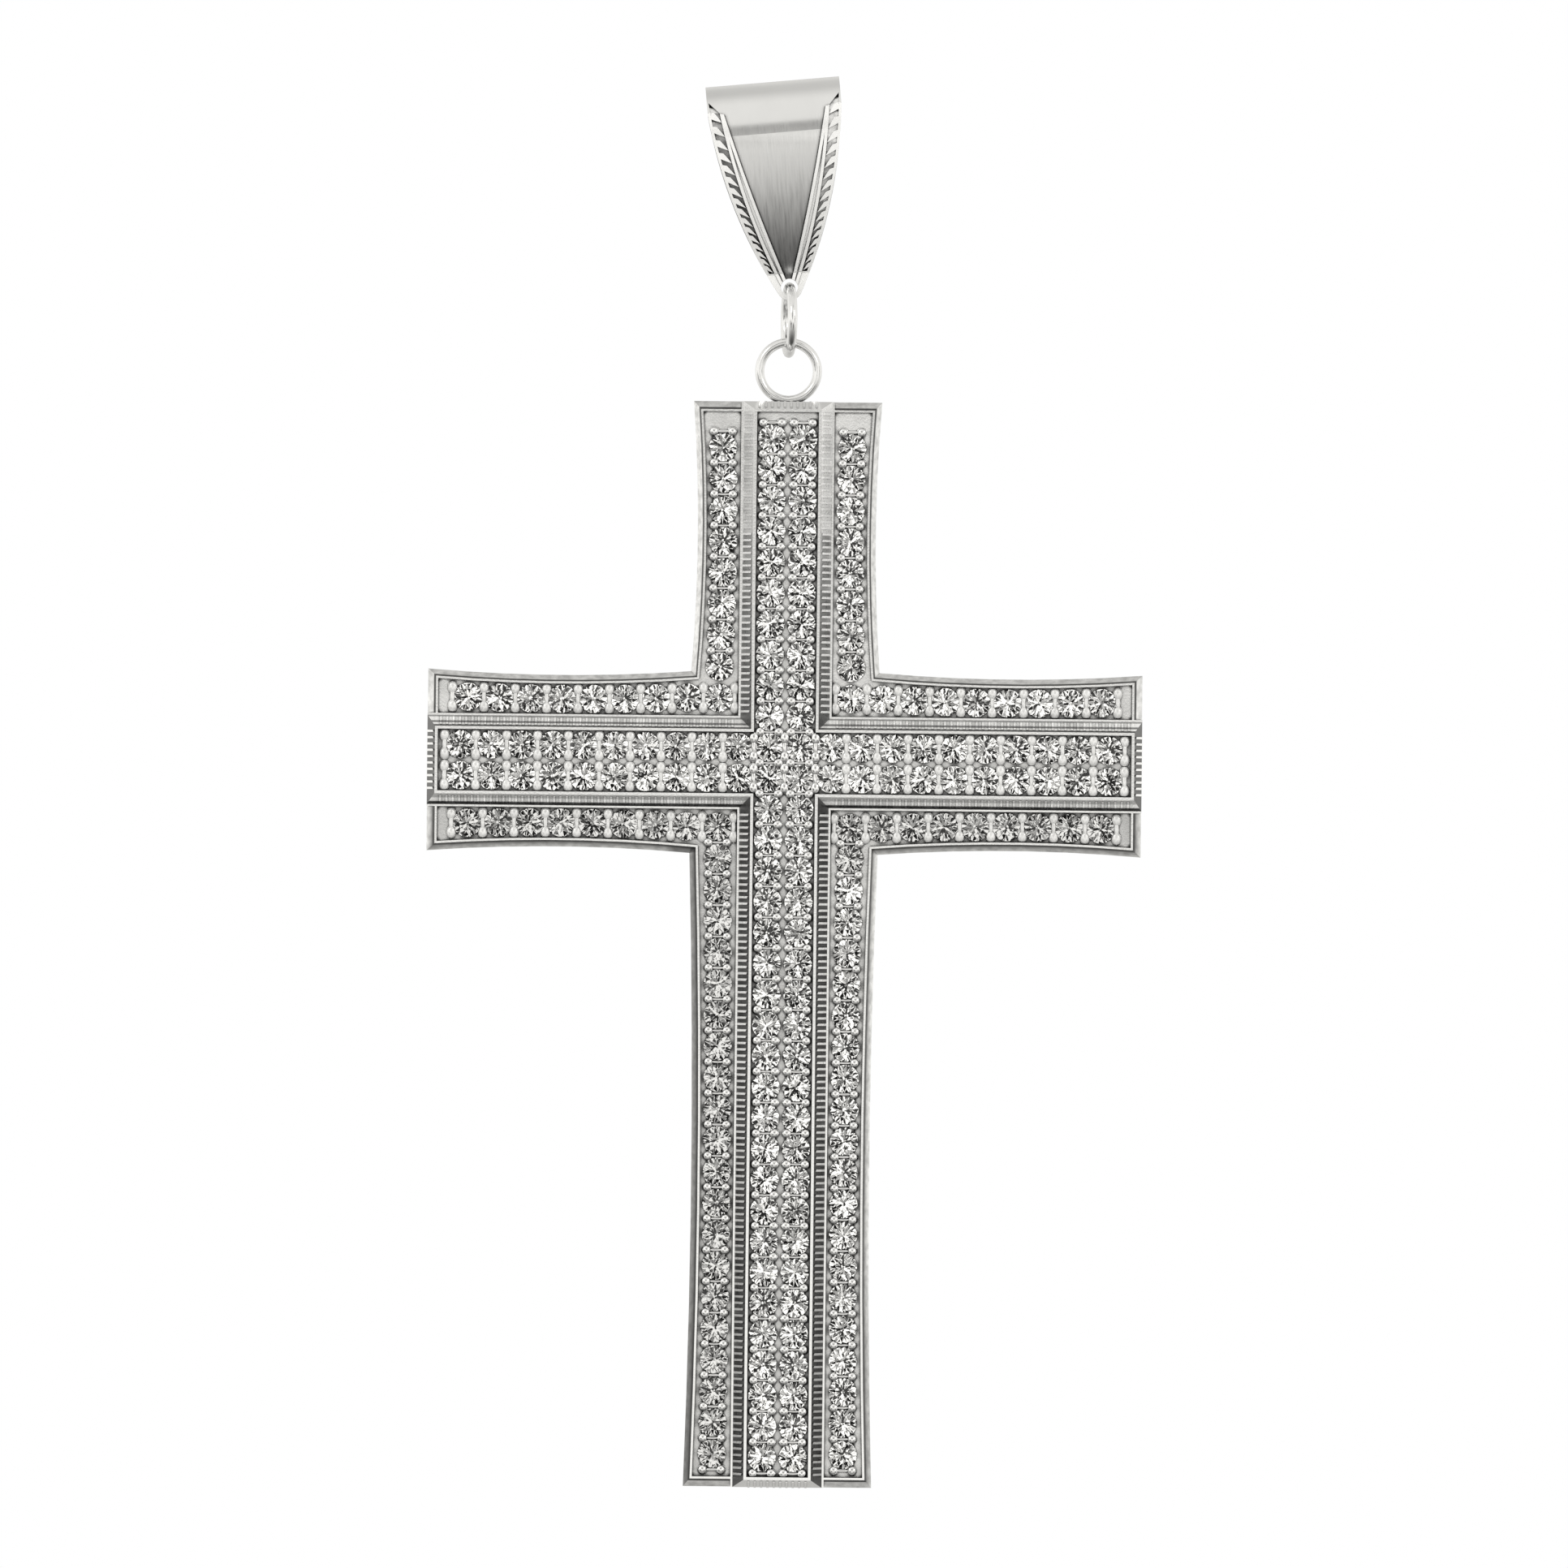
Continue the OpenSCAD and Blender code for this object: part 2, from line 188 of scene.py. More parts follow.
def blend(tree, factor, first, second):
    """The first colour where the factor is 0, and the second where it is 1."""
    node = tree.nodes.new("ShaderNodeMix")
    node.data_type = "RGBA"
    tree.links.new(factor, node.inputs["Factor"])
    for key, value in (("A", first), ("B", second)):
        if isinstance(value, float):
            node.inputs[key].default_value = (value, value, value, 1.0)
        else:
            tree.links.new(value, node.inputs[key])
    return node.outputs["Result"]


def multiply(tree, first, second):
    """Two colours, one times the other."""
    node = tree.nodes.new("ShaderNodeMix")
    node.data_type = "RGBA"
    node.blend_type = "MULTIPLY"
    node.inputs["Factor"].default_value = 1.0
    tree.links.new(first, node.inputs["A"])
    tree.links.new(second, node.inputs["B"])
    return node.outputs["Result"]


def shade_and_tarnish_in_corners(tree, reach, dark, edges=OPEN_SURFACE):
    """Painted shade and tarnish in corners and round the stones: dark there, and 1 on open
    surfaces.
    """
    node = add_node(
        tree,
        "ShaderNodeAmbientOcclusion",
        values={"Distance": reach * MM},
        samples=OCCLUSION_SAMPLES,
    )
    return ramp(tree, node.outputs["AO"], [(edges[0], dark), (edges[1], 1.0)])


def along(tree, axis, low, high, stops):
    """Tone by the place along one axis, between two places in millimetres."""
    parts = add_node(tree, "ShaderNodeSeparateXYZ", links={"Vector": millimetres(tree)})
    node = add_node(
        tree,
        "ShaderNodeMapRange",
        values={"From Min": low, "From Max": high},
        links={"Value": parts.outputs[axis]},
    )
    return ramp(tree, node.outputs["Result"], stops)


def finish_silver(tree, shader, colour, roughness, fine, strength, relief, metal):
    """Feed a silver's colour, roughness and relief to its shader."""
    tree.links.new(colour, shader.inputs["Base Color"])
    tree.links.new(uneven(tree, fine, *roughness), shader.inputs["Roughness"])
    tree.links.new(bump(tree, fine, strength, relief * MM), shader.inputs["Normal"])
    shader.inputs["Metallic"].default_value = metal


def silver(
    name,
    tone,
    rough=(0.12, 0.2),
    relief=0.004,
    shade_and_tarnish=(0.3, 0.25),
    metal=1.0,
    shades=(),
    patch=0.6,
):
    """Cast silver: a soft grain in its tone, polish and relief, and painted shade and tarnish in
    its corners.
    """
    made, tree, shader = new_material(name)
    place = millimetres(tree)
    cloud = noise(tree, place, patch, CLOUD_DETAIL)
    fine = noise(tree, place, GRAIN_SCALE)
    colour = multiply(tree, uneven(tree, cloud, *tone), shade_and_tarnish_in_corners(tree, *shade_and_tarnish))
    for shade in shades:
        colour = multiply(tree, colour, along(tree, *shade))
    finish_silver(tree, shader, colour, rough, fine, GRAIN_BUMP, relief, metal)
    return made


# The satin panel of the bail: stretch of its brush lines, tones, where its brushing starts, and
# painted reflection and shade by height
BRUSH_LINES = (7.0, 1.0, 0.45)
BRUSH_HAIRS = (30.0, 1.0, 0.8)
BRUSH_TONES = [(0.32, 0.66), (0.5, 0.86), (0.68, 0.96)]
SATIN_PATCH = 0.35
SATIN_TONE = (0.88, 0.92)
SATIN_ROUGH = (0.16, 0.26)
SATIN_BUMP = 0.3
SATIN_RELIEF = 0.004
# Painted shade and tarnish in the corners of the satin panel
SATIN_SHADE_AND_TARNISH = (0.25, 0.05, (0.68, 0.95))
BELOW_FOLD = ("Z", -7.5, -3.5, [(0.0, 1.0), (1.0, 0.0)])
# Painted dark reflection in a band under the fold
PAINTED_REFLECTION_UNDER_FOLD = ("Z", -6.0, -2.6, [(0.0, 1.0), (0.6, 0.84), (0.85, 0.84), (1.0, 1.0)])
# Painted shade, darker towards the tip
PAINTED_SHADE_AT_TIP = ("Z", -11.7, -10.6, [(0.0, 0.2), (0.5, 0.22), (0.8, 1.0)])


def brushed_silver(name):
    """The satin panel of the bail: smooth on its fold, brushed below it, with a painted dark
    reflection under the fold and painted shade at the tip.
    """
    made, tree, shader = new_material(name)
    place = millimetres(tree)
    lines = noise(tree, millimetres(tree, BRUSH_LINES, BAIL_LEAN), 1.0, CLOUD_DETAIL)
    fine = noise(tree, millimetres(tree, BRUSH_HAIRS, BAIL_LEAN), 1.0)
    cloud = noise(tree, place, SATIN_PATCH)
    brushed = ramp(tree, lines, BRUSH_TONES)
    plain = uneven(tree, cloud, *SATIN_TONE)
    colour = blend(tree, along(tree, *BELOW_FOLD), plain, brushed)
    for shade in (PAINTED_REFLECTION_UNDER_FOLD, PAINTED_SHADE_AT_TIP):
        colour = multiply(tree, colour, along(tree, *shade))
    colour = multiply(tree, colour, shade_and_tarnish_in_corners(tree, *SATIN_SHADE_AND_TARNISH))
    finish_silver(tree, shader, colour, SATIN_ROUGH, fine, SATIN_BUMP, SATIN_RELIEF, 1.0)
    return made


STONE_PATCH = 0.5
STONE_GREY = 0.96
STONE_IOR = 2.15
STONE_GLOSS_TINT = (0.4, 0.4, 0.4, 1)


def clear_stone(name, tone=1.0):
    """Colourless stone with a high refraction, and a breath of grey inside it."""
    made, tree, shader = new_material(name)
    cloud = noise(tree, millimetres(tree), STONE_PATCH)
    tree.links.new(uneven(tree, cloud, STONE_GREY * tone, tone), shader.inputs["Base Color"])
    shader.inputs["Roughness"].default_value = 0.0
    shader.inputs["IOR"].default_value = STONE_IOR
    shader.inputs["Specular Tint"].default_value = STONE_GLOSS_TINT
    shader.inputs["Transmission Weight"].default_value = 1.0
    return made


# Painted light and shade of the finishes: an axis, two places along it in millimetres, and tones
# between them


def by_height(*stops):
    """From the foot of the cross to its top."""
    return ("Z", -86.0, -19.0, list(stops))


def by_side(*stops):
    """Across the upright, from left to right."""
    return ("X", -6.5, 7.0, list(stops))


def by_bevel(*stops):
    """From the front edge of the bevel, at the rim, to its back edge."""
    return ("Y", (back_y - TIER) / MM, (back_y - WALL) / MM, list(stops))


# Painted shade along the front edge of the bevels, at the rim
EDGE_PAINTED_SHADE = by_bevel((0.0, 0.12), (0.22, 0.12), (0.3, 1.0))
LOW_EDGE_PAINTED_SHADE = by_bevel((0.0, 0.1), (0.22, 0.12), (0.4, 0.5), (1.0, 1.0))
# Painted light and shade on the low bevel: darker at the foot, darker on the left, lighter at the
# far right
LOW_FOOT_PAINTED_SHADE = by_height((0.0, 0.65), (0.12, 0.7), (0.22, 1.0))
LOW_SIDES_PAINTED_LIGHT = by_side(
    (0.02, 1.0),
    (0.07, 0.42),
    (0.3, 0.42),
    (0.6, 1.0),
    (0.88, 1.0),
    (0.91, 1.2),
    (0.985, 1.2),
    (1.0, 1.0),
)
# Painted shade in the grooves and on the rungs of the ladders, darker towards the foot
GROOVE_SHADE_BY_HEIGHT = by_height(
    (0.0, 0.14), (0.6, 0.2), (0.705, 0.22), (0.715, 0.36), (0.82, 0.5), (0.88, 0.7)
)
RUNG_SHADE_BY_HEIGHT = by_height((0.0, 0.5), (0.2, 0.55), (0.4, 0.96), (1.0, 1.0))
# Painted light on the fields, lighter towards the top and towards the right
FIELD_LIGHT_BY_HEIGHT = by_height((0.0, 0.95), (0.6, 1.0), (0.72, 1.18), (1.0, 1.25))
FIELD_LIGHT_ON_RIGHT = by_side((0.0, 1.0), (0.76, 1.0), (0.78, 1.15), (0.98, 1.15), (1.0, 1.0))
# Painted light and shade across the worn slopes at the top of the cross, and across and up the
# bands of the bail
WORN_SLOPES_LIGHT_BY_SIDE = ("X", -1.0, 3.2, [(0.0, 0.9), (1.0, 1.05)])
# Painted shade on the bail's carved bands: darker on the left and in the middle, lighter on the
# right and up towards the fold
BAND_SHADE_BY_SIDE = ("X", -3.6, 3.6, [(0.0, 0.5), (0.35, 0.3), (0.5, 0.3), (0.7, 0.8), (1.0, 1.0)])
BAND_LIGHT_BY_HEIGHT = ("Z", -11.0, -1.0, [(0.0, 0.7), (0.3, 0.7), (0.74, 0.75), (0.88, 1.4)])
# Painted highlights and painted shade lines along both slopes of the crossbar, from its low edge to
# its high one
CROSSBAR_HIGHLIGHT_AND_SHADE_LINES = (
    "Z",
    (crossing.z - SLOPE_HALF) / MM,
    (crossing.z + SLOPE_HALF) / MM,
    [
        (0.0, 0.05),
        (0.03, 0.05),
        (0.042, 1.45),
        (0.068, 1.5),
        (0.08, 0.8),
        (0.112, 0.75),
        (0.12, 1.0),
        (0.87, 1.0),
        (0.877, 0.15),
        (0.892, 0.15),
        (0.9, 1.5),
        (0.913, 1.5),
        (0.919, 0.35),
        (0.934, 0.35),
        (0.946, 1.45),
        (0.976, 1.45),
        (0.986, 0.5),
        (1.0, 0.5),
    ],
)

# Silver by finish: its tone and roughness from and to, and the reach and tone of its painted shade
# and tarnish in corners
FROSTED = dict(tone=(0.93, 0.98), rough=(0.25, 0.35), shade_and_tarnish=(0.15, 0.15), metal=0.35)
SOFT = dict(rough=(0.2, 0.3), metal=0.35, shades=[CROSSBAR_HIGHLIGHT_AND_SHADE_LINES])
BEVEL = dict(tone=(0.62, 1.0), rough=(0.1, 0.2), patch=2.2)
SILVERS = {
    "polished_silver": dict(tone=(0.86, 0.93), shade_and_tarnish=(0.2, 0.6)),
    "bright_cut_silver": dict(tone=(0.94, 0.97), rough=(0.06, 0.14), shade_and_tarnish=(0.15, 0.4)),
    "frosted_silver": FROSTED,
    "field_silver": dict(
        tone=(0.6, 0.8),
        rough=(0.16, 0.3),
        relief=0.01,
        shade_and_tarnish=(0.3, 0.05, (0.52, 0.76)),
        shades=[FIELD_LIGHT_BY_HEIGHT, FIELD_LIGHT_ON_RIGHT],
    ),
    "groove_silver": dict(
        tone=(0.85, 0.97),
        rough=(0.25, 0.4),
        relief=0.01,
        shade_and_tarnish=(0.08, 0.35),
        shades=[GROOVE_SHADE_BY_HEIGHT],
    ),
    "rung_silver": dict(FROSTED, shades=[RUNG_SHADE_BY_HEIGHT]),
    "soft_groove_silver": dict(SOFT, tone=(0.6, 0.74), shade_and_tarnish=(0.12, 0.4)),
    "soft_rung_silver": dict(SOFT, tone=(0.68, 0.82), shade_and_tarnish=(0.15, 0.4)),
    "worn_and_side_lit_silver": dict(
        tone=(0.84, 0.96),
        rough=(0.25, 0.35),
        shade_and_tarnish=(0.08, 0.9),
        metal=0.45,
        shades=[WORN_SLOPES_LIGHT_BY_SIDE],
    ),
    "seat_silver": dict(tone=(0.5, 0.6), rough=(0.2, 0.3)),
    "white_bead_silver": dict(
        tone=(0.8, 0.92), rough=(0.15, 0.25), shade_and_tarnish=(0.14, 0.2), metal=0.4
    ),
    "bevel_silver": dict(BEVEL, shades=[EDGE_PAINTED_SHADE]),
    "low_bevel_silver": dict(BEVEL, shades=[LOW_EDGE_PAINTED_SHADE, LOW_SIDES_PAINTED_LIGHT, LOW_FOOT_PAINTED_SHADE]),
    "dark_silver": dict(
        tone=(0.3, 1.2),
        rough=(0.25, 0.4),
        relief=0.01,
        shade_and_tarnish=(0.15, 0.4),
        shades=[BAND_SHADE_BY_SIDE, BAND_LIGHT_BY_HEIGHT],
        patch=1.3,
    ),
}
FINISHES = {name: silver(name, **recipe) for name, recipe in SILVERS.items()}
FINISHES["brushed_silver"] = brushed_silver("brushed_silver")
CLEAR_STONE = clear_stone("clear_stone")
SHADED_STONE = clear_stone("shaded_stone", 0.74)

# Finish of each kind of face
BAIL_KINDS = {
    "satin": "brushed_silver",
    "frosted": "frosted_silver",
    "groove": "dark_silver",
    "polished": "polished_silver",
}
CROSS_KINDS = {
    "polished": "polished_silver",
    "bright": "bright_cut_silver",
    "field": "field_silver",
    "groove": "groove_silver",
    "rung": "rung_silver",
    "worn": "worn_and_side_lit_silver",
    "soft_groove": "soft_groove_silver",
    "soft_rung": "soft_rung_silver",
    "seat": "seat_silver",
    "bevel": "bevel_silver",
    "low_bevel": "low_bevel_silver",
}


# Dressed solids

# How far to the front a normal turns: more than this on a flat top, less on a wall, less on the
# back, and more in the carving of the bail
TOP_TURN = 0.95
WALL_TURN = 0.2
BACK_TURN = -0.1
CARVING_TURN = 0.3
# Height above the back from which a wall of the outer level belongs to a seat
SEATS_FROM = 1.725 * MM
# Height above the crossing from which the rungs are worn away and the slopes are plain
WORN_FROM = 14.2 * MM


def dress(name, node, body, kinds, kind_of):
    """A copy of a solid's mesh that stands for it, with a finish for each kind of face."""
    solid = frame["nodes"][node]
    mesh = solid.data.copy()
    mesh.name = name
    mesh.materials.clear()
    order = list(kinds)
    for kind in order:
        mesh.materials.append(FINISHES[kinds[kind]])
    for face in mesh.polygons:
        face.material_index = order.index(kind_of(face))
    piece = bpy.data.objects.new(name, mesh)
    bpy.context.scene.collection.objects.link(piece)
    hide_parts(node)
    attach(piece, body)
    return piece


def slope_at(face, place):
    """Where the slope of the raised centre starts under a face, its width, and its two finishes."""
    sideways = abs(face.normal.x) > abs(face.normal.z)
    out = abs(place.x) if sideways else abs(place.z)
    reach = SIDE_ARM if sideways else (TOP_ARM if place.z > 0 else FOOT_ARM)
    ladder = ("groove", "rung")
    if out > reach - END_SLOPE - CLOSE:
        at_end = ladder if sideways else ("polished", "polished")
        return out, reach - END_SLOPE, END_SLOPE, at_end
    if place.z > WORN_FROM:
        return out, CREST_HALF, SLOPE_W, ("worn", "worn")
    return out, CREST_HALF, SLOPE_W, ladder if sideways else ("soft_groove", "soft_rung")


def kind_on_cross(face):
    """Which finish a face of the cross takes, from where it lies and how it is turned."""
    place = face.center - crossing
    height = back_y - face.center.y
    front = -face.normal.y
    raised = min(abs(place.x), abs(place.z)) < CREST_HALF + CLOSE
    level = CROWN if raised else TIER
    in_field = "field" if height > level - SINK - CLOSE else "seat"
    if place.z > TOP_ARM + CLOSE or front < BACK_TURN:
        return "polished"
    if front > TOP_TURN:
        return "bright" if abs(height - level) < CLOSE else in_field
    if abs(front) < WALL_TURN:
        lowest = WALL if raised else SEATS_FROM
        return in_field if height > lowest else "polished"
    if height > TIER - CLOSE:
        out, start, width, finishes = slope_at(face, place)
        fall = CROWN - TIER
        rise = ((out - start) * fall + (height - CROWN) * width) / math.hypot(fall, width)
        return finishes[0] if abs(rise) < RUNG_RISE / 2 else finishes[1]
    return "bevel" if place.z > 0 or place.z < END_SLOPE - FOOT_ARM else "low_bevel"


def arc_half(drop, top, foot, radius):
    """Half width, at a drop below the fold, of an outline that is one arc between two points."""
    chord = (foot - top).length
    way = (foot - top) / chord
    inward = Vector((way.y, -way.x))
    centre = (top + foot) / 2 + inward * math.sqrt(radius**2 - (chord / 2) ** 2)
    return centre.x + math.sqrt(max(radius**2 - (drop - centre.y) ** 2, 0.0))


unlean = Matrix.Rotation(BAIL_LEAN, 3, "Y")


def kind_on_bail(face):
    """Which finish a face of the bail takes: satin on the panel, fold and back, bright beside."""
    place = unlean @ face.center
    drop = place.z + FOLD_R
    if drop > 0:
        out = math.hypot(place.y, drop) - FOLD_R
    else:
        inner_r = LEAF_R - SHEET
        out = math.hypot(inner_r - FOLD_R + abs(place.y), drop) - inner_r
    on_front = place.y < 0 and place.z < PANEL_TOP.y
    if on_front and abs(place.x) > arc_half(place.z, PANEL_TOP, PANEL_FOOT, PANEL_R):
        carved = out < SHEET - CLOSE and abs(face.normal.y) > CARVING_TURN
        return "groove" if carved else "frosted"
    return "satin" if out > SHEET - CLOSE else "polished"


dress("bail_dressed", "bail", "bail", BAIL_KINDS, kind_on_bail)
dress(
    "cross_dressed", "cross_frame", BODY_OF_CROSS, CROSS_KINDS, kind_on_cross
)
link = frame["nodes"]["link_ring"]
link.material_slots[0].link = "OBJECT"
link.material_slots[0].material = FINISHES["polished_silver"]


# Stones

# Shares of the cut: the girdle's and crown's height of the diameter, the star's of the crown,
# radii of the girdle's, and the depth of the keel's ring of the pavilion
GIRDLE_HEIGHT = 0.03
CROWN_HEIGHT = 0.15
TABLE_R = 0.56
STAR_R = 0.86
STAR_HEIGHT = 0.36
KEEL_R = 0.25
KEEL_DEPTH = 0.769
# How far a stone may be tipped in its seat, in degrees
STONE_TIP = 2.5
# Drop under the crossing down to which the stones of both low rows of the crossbar are in shade
SHADE_DROP = 6 * MM


def mesh_piece(name, body, materials, points, faces, kinds, smooth=False):
    """A piece of its own from points and faces, with the number of each face's material."""
    mesh = bpy.data.meshes.new(name)
    mesh.from_pydata(points, [], faces)
    for material in materials:
        mesh.materials.append(material)
    mesh.polygons.foreach_set("use_smooth", [smooth] * len(faces))
    mesh.polygons.foreach_set("material_index", kinds)
    mesh.update()
    piece = bpy.data.objects.new(name, mesh)
    bpy.context.scene.collection.objects.link(piece)
    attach(piece, body)
    return piece


def stone_places(node):
    """The middle of each stone of a field at its girdle, from the lowest points of the solids."""
    mesh = frame["nodes"][node].data
    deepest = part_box(node)[1].y
    tips = {
        (round(v.co.x, 6), round(v.co.z, 6))
        for v in mesh.vertices
        if v.co.y > deepest - CLOSE / 3
    }
    return [Vector((x, deepest - PAVILION, z)) for x, z in sorted(tips)]


def ring_of(count, radius, height, turn=0.0):
    """Points evenly round a circle, turned by a share of one step."""
    return [
        Vector((radius * math.cos(a), radius * math.sin(a), height))
        for a in ((i + turn) * 2 * math.pi / count for i in range(count))
    ]


def brilliant():
    """A round brilliant with its table up: points and faces, girdle at height 0."""
    r = STONE_D / 2
    girdle = GIRDLE_HEIGHT * STONE_D
    crown = girdle + CROWN_HEIGHT * STONE_D
    table = ring_of(8, TABLE_R * r, crown, 0.5)
    star = ring_of(8, STAR_R * r, girdle + STAR_HEIGHT * (crown - girdle))
    upper = ring_of(16, r, girdle)
    lower = ring_of(16, r, 0.0)
    keel = ring_of(8, KEEL_R * r, -KEEL_DEPTH * PAVILION, 0.5)
    points = [*table, *star, *upper, *lower, *keel, Vector((0, 0, -PAVILION))]
    # Number of the first point of each ring, and of the tip
    table_0, star_0, upper_0, lower_0, keel_0, tip = 0, 8, 16, 32, 48, 56
    faces = [list(range(8))]
    for i in range(8):
        j = (i + 1) % 8
        here = 2 * i
        after = (2 * i + 1) % 16
        later = (2 * i + 2) % 16
        before = (2 * i - 1) % 16
        faces.append([table_0 + (i - 1) % 8, star_0 + i, table_0 + i])
        faces.append([table_0 + i, star_0 + i, upper_0 + after, star_0 + j])
        faces.append([star_0 + i, upper_0 + here, upper_0 + after])
        faces.append([star_0 + i, upper_0 + before, upper_0 + here])
        faces.append([lower_0 + here, keel_0 + i, lower_0 + after])
        faces.append([lower_0 + after, keel_0 + i, lower_0 + later])
        faces.append([lower_0 + here, keel_0 + (i - 1) % 8, tip, keel_0 + i])
    for i in range(16):
        j = (i + 1) % 16
        faces.append([upper_0 + i, lower_0 + i, lower_0 + j, upper_0 + j])
    return points, faces


def is_shaded(place):
    """Stones of the low left column and of both low rows of the crossbar are a little darker."""
    off = place - crossing
    low = off.z < -FIELD_HALF and abs(off.x) > FIELD_HALF
    return low and (off.x < 0 or off.z > -SHADE_DROP)


def cut_stones(name, node, seed):
    """The full cut of every stone of a field, each turned and tipped a little in its seat."""
    draw = random.Random(seed)
    face_front = Matrix.Rotation(math.pi / 2, 3, "X")
    base, base_faces = brilliant()
    points, faces, kinds = [], [], []
    for place in stone_places(node):
        kinds.extend([int(is_shaded(place))] * len(base_faces))
        turn = Matrix.Rotation(draw.uniform(0, math.pi / 4), 3, "Z")
        tip = Matrix.Rotation(math.radians(draw.uniform(-STONE_TIP, STONE_TIP)), 3, "X")
        lean = Matrix.Rotation(math.radians(draw.uniform(-STONE_TIP, STONE_TIP)), 3, "Y")
        matrix = face_front @ lean @ tip @ turn
        start = len(points)
        points.extend(place + matrix @ p for p in base)
        faces.extend([start + i for i in face] for face in base_faces)
    stones = [CLEAR_STONE, SHADED_STONE]
    piece = mesh_piece(name, BODY_OF_CROSS, stones, points, faces, kinds)
    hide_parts(node)
    return piece


cut_stones("centre_stones_cut", "centre_stones", 3)
cut_stones("side_stones_cut", "side_stones", 4)


# Beads that hold the stones, two in each gap of a row, joined by a thin web

BEAD_TOP = 0.27 * MM
BEAD_FOOT = 0.05 * MM
BEAD_SPREAD = 0.57 * MM
# Half sizes of a bead along its row and across it, and half width and height of a web
CROSSBAR_BEAD = (0.32 * MM, 0.42 * MM)
UPRIGHT_BEAD = (0.32 * MM, 0.33 * MM)
CROSSBAR_WEB = (0.18 * MM, 0.24 * MM)
UPRIGHT_WEB = (0.13 * MM, 0.12 * MM)
# From the last stone of a row to its end bead, the widest step between two stones of a row, and
# how far from the middle of a row its stones may lie
ROW_END = 0.97 * MM
PITCH_LIMIT = 2.05 * MM
ROW_HALF = 0.9 * MM
# Roundness of a dome's side, and how many rings and sides it has
DOME_POWER = 0.6
DOME_RINGS = 5
DOME_SIDES = 12
ALONG_X = Vector((1, 0, 0))
ALONG_Z = Vector((0, 0, 1))


def across(step):
    """The way across a row that runs one way."""
    return ALONG_X if step == ALONG_Z else ALONG_Z


def gaps_in_rows(places):
    """The middle of each gap along the rows of a field, and the way that the row runs."""
    found = []
    for at in places:
        off = at - crossing
        in_upright = abs(off.x) < abs(off.z) or abs(off.x) < FIELD_HALF
        in_crossbar = abs(off.z) < abs(off.x) or abs(off.z) < FIELD_HALF
        for step, inside in ((ALONG_X, in_crossbar), (ALONG_Z, in_upright)):
            for way in (step, -step) if inside else ():
                near = [p for p in places if 0 < (p - at).dot(way) < PITCH_LIMIT]
                near = [p for p in near if abs((p - at).dot(across(step))) < ROW_HALF]
                if near and way == step:
                    found.append(((at + near[0]) / 2, step))
                if not near:
                    found.append((at + way * ROW_END, step))
    return found


def dome(points, faces, at, radii, top):
    """A low dome on the field, round or longer one way, from just below its floor."""
    start = len(points)
    for ring in range(DOME_RINGS):
        angle = ring / DOME_RINGS * math.pi / 2
        rise = top * math.sin(angle) if ring else -BEAD_FOOT
        for i in range(DOME_SIDES):
            turn = 2 * math.pi * i / DOME_SIDES
            x = radii[0] * math.cos(angle) ** DOME_POWER * math.cos(turn)
            z = radii[1] * math.cos(angle) ** DOME_POWER * math.sin(turn)
            points.append((at.x + x, at.y - rise, at.z + z))
    points.append((at.x, at.y - top, at.z))
    for ring in range(DOME_RINGS - 1):
        low = start + ring * DOME_SIDES
        high = low + DOME_SIDES
        for i in range(DOME_SIDES):
            j = (i + 1) % DOME_SIDES
            faces.append((low + i, low + j, high + j, high + i))
    last = start + (DOME_RINGS - 1) * DOME_SIDES
    for i in range(DOME_SIDES):
        faces.append((last + i, last + (i + 1) % DOME_SIDES, last + DOME_SIDES))


def beads(name, nodes):
    """Every bead and web of the fields, as one joined mesh, whiter on the side arms."""
    points, faces, kinds = [], [], []
    for node in nodes:
        for middle, step in gaps_in_rows(stone_places(node)):
            aside = across(step)
            at = Vector((middle.x, middle.y + GIRDLE_LIFT, middle.z))
            in_crossbar = step == ALONG_X
            bead_half = CROSSBAR_BEAD if in_crossbar else UPRIGHT_BEAD
            bead = step * bead_half[0] + aside * bead_half[1]
            for side in (-BEAD_SPREAD, BEAD_SPREAD):
                dome(points, faces, at + aside * side, (bead.x, bead.z), BEAD_TOP)
            web_half, web_top = CROSSBAR_WEB if in_crossbar else UPRIGHT_WEB
            web = step * web_half + aside * BEAD_SPREAD
            dome(points, faces, at, (web.x, web.z), web_top)
            on_side_arm = in_crossbar and abs(middle.x - crossing.x) > SLOPE_HALF
            kinds.extend([int(on_side_arm)] * (len(faces) - len(kinds)))
    silvers = [FINISHES["bright_cut_silver"], FINISHES["white_bead_silver"]]
    return mesh_piece(
        name, BODY_OF_CROSS, silvers, points, faces, kinds, smooth=True
    )


beads("prong_beads", ["centre_stones", "side_stones"])


# Camera and floor

FRAME_W = 96.6 * MM
CAMERA_FAR = 1.2
SENSOR_W = 36.0
CLIP_NEAR = 0.05
CLIP_FAR = 20.0
ROLL = math.radians(-0.6)
VIEW_CENTRE = (1.11 * MM, -42.5 * MM)
camera = bpy.data.cameras.new("camera")
camera.sensor_width = SENSOR_W
camera.lens = camera.sensor_width * CAMERA_FAR / FRAME_W
camera.clip_start = CLIP_NEAR
camera.clip_end = CLIP_FAR
eye = bpy.data.objects.new("camera", camera)
eye.location = (VIEW_CENTRE[0], -CAMERA_FAR, VIEW_CENTRE[1])
eye.rotation_euler = (math.pi / 2, ROLL, 0)
bpy.context.scene.collection.objects.link(eye)
bpy.context.scene.camera = eye

